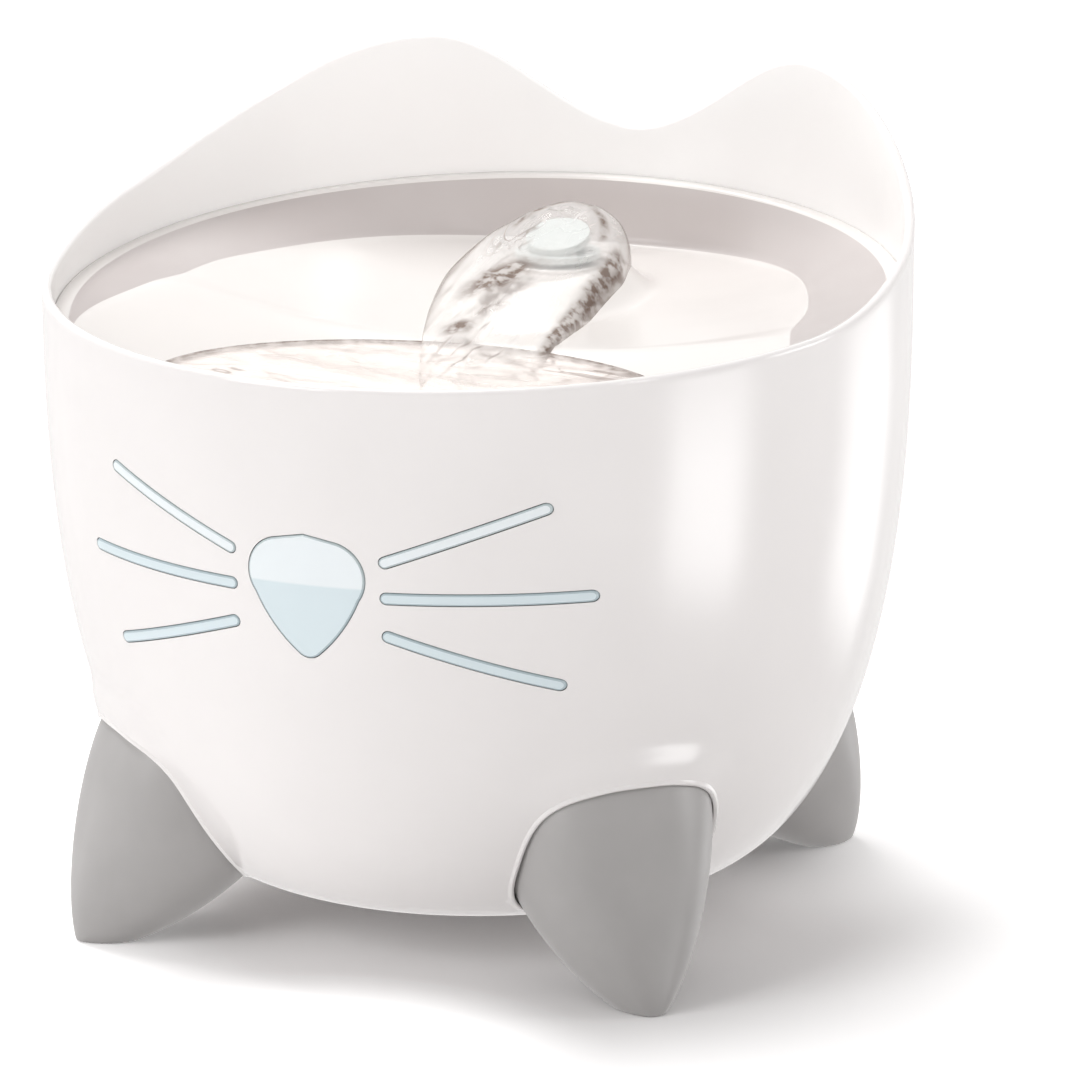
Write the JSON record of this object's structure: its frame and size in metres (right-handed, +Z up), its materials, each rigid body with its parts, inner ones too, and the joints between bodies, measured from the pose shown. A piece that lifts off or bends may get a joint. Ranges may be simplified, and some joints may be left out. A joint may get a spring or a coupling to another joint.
{
  "type": "pet water fountain",
  "caption": "Round cat-eared pet water fountain on conical feet, with a sliding stream into a drinking dish, clear nose and whisker level windows, a filter pan and a submersible pump",
  "frame": {"origin": "on the floor, straight under the centre of the tank's axis and of the bounding box", "axes": "+Z up; the face with its windows looks along -Y; +X is to the viewer's right when facing it"},
  "size_m": [0.216, 0.216, 0.2016],
  "materials": {
    "shell_white": "polished white moulded plastic",
    "window_clear": "clear moulded plastic with water behind it",
    "foot_grey": "satin warm grey plastic",
    "rubber_grey": "soft dark grey rubber",
    "dish_white": "polished white plastic",
    "spout_pale": "pale translucent plastic",
    "pan_white": "plain moulded plastic",
    "cartridge_grey": "plain moulded plastic",
    "foam_blue": "open-cell filter foam",
    "carbon_black": "packed carbon granules",
    "resin_amber": "packed resin beads",
    "riser_pale": "plain pale tube",
    "pump_black": "fine-grained black plastic",
    "core_steel": "laminated electrical steel",
    "coil_copper": "enamelled copper wire",
    "potting_black": "cast resin",
    "impeller_white": "plain moulded plastic",
    "magnet_grey": "sintered ferrite",
    "shaft_steel": "ground stainless steel",
    "cup_clear": "clear soft silicone"
  },
  "bodies": {
    "tank": {"tank_shell": "shell_white", "nose_window": "window_clear", "whisker_left_top": "window_clear", "whisker_left_middle": "window_clear", "whisker_left_bottom": "window_clear", "whisker_right_top": "window_clear", "whisker_right_middle": "window_clear", "whisker_right_bottom": "window_clear", "foot_front_left": "foot_grey", "foot_front_right": "foot_grey", "foot_rear_left": "foot_grey", "foot_rear_right": "foot_grey", "cord_gland": "rubber_grey"},
    "pump": {"pump_housing": "pump_black", "pump_end_plate": "pump_black", "stator_core": "core_steel", "stator_coil": "coil_copper", "potting": "potting_black", "rear_bush": "rubber_grey", "impeller_shaft": "shaft_steel", "suction_cup_front_left": "cup_clear", "suction_cup_front_right": "cup_clear", "suction_cup_rear_left": "cup_clear", "suction_cup_rear_right": "cup_clear"},
    "rotor": {"impeller": "impeller_white", "rotor_magnet": "magnet_grey"},
    "cover": {"pump_cover": "pump_black", "front_bush": "rubber_grey"},
    "riser": {"riser_tube": "riser_pale"},
    "pan": {"filter_pan": "pan_white"},
    "cartridge": {"cartridge_frame": "cartridge_grey", "filter_foam": "foam_blue", "carbon_bed": "carbon_black", "resin_bed": "resin_amber"},
    "grille": {"filter_grille": "pan_white"},
    "dish": {"drinking_dish": "dish_white"},
    "spout": {"spout_nozzle": "spout_pale", "spout_seal": "rubber_grey"}
  },
  "joints": [
    {"name": "pump_lift", "type": "slide", "parent": "tank", "child": "pump", "axis": [0, 0, 1], "range_m": [0, 0.05]},
    {"name": "impeller_spin", "type": "hinge", "parent": "pump", "child": "rotor", "pos_m": [0, 0.053, 0.0363], "axis": [0, 1, 0], "continuous": true},
    {"name": "cover_slide", "type": "slide", "parent": "pump", "child": "cover", "axis": [0, 1, 0], "range_m": [0, 0.009]},
    {"name": "riser_lift", "type": "slide", "parent": "pump", "child": "riser", "axis": [0, 0, 1], "range_m": [0, 0.02]},
    {"name": "filter_lift", "type": "slide", "parent": "riser", "child": "pan", "axis": [0, 0, 1], "range_m": [0, 0.09]},
    {"name": "cartridge_lift", "type": "slide", "parent": "pan", "child": "cartridge", "axis": [0, 0, 1], "range_m": [0, 0.03]},
    {"name": "grille_lift", "type": "slide", "parent": "cartridge", "child": "grille", "axis": [0, 0, 1], "range_m": [0, 0.03]},
    {"name": "dish_lift", "type": "slide", "parent": "grille", "child": "dish", "axis": [0, 0, 1], "range_m": [0, 0.08]},
    {"name": "spout_lift", "type": "slide", "parent": "dish", "child": "spout", "axis": [0, 0, 1], "range_m": [0, 0.035]}
  ]
}
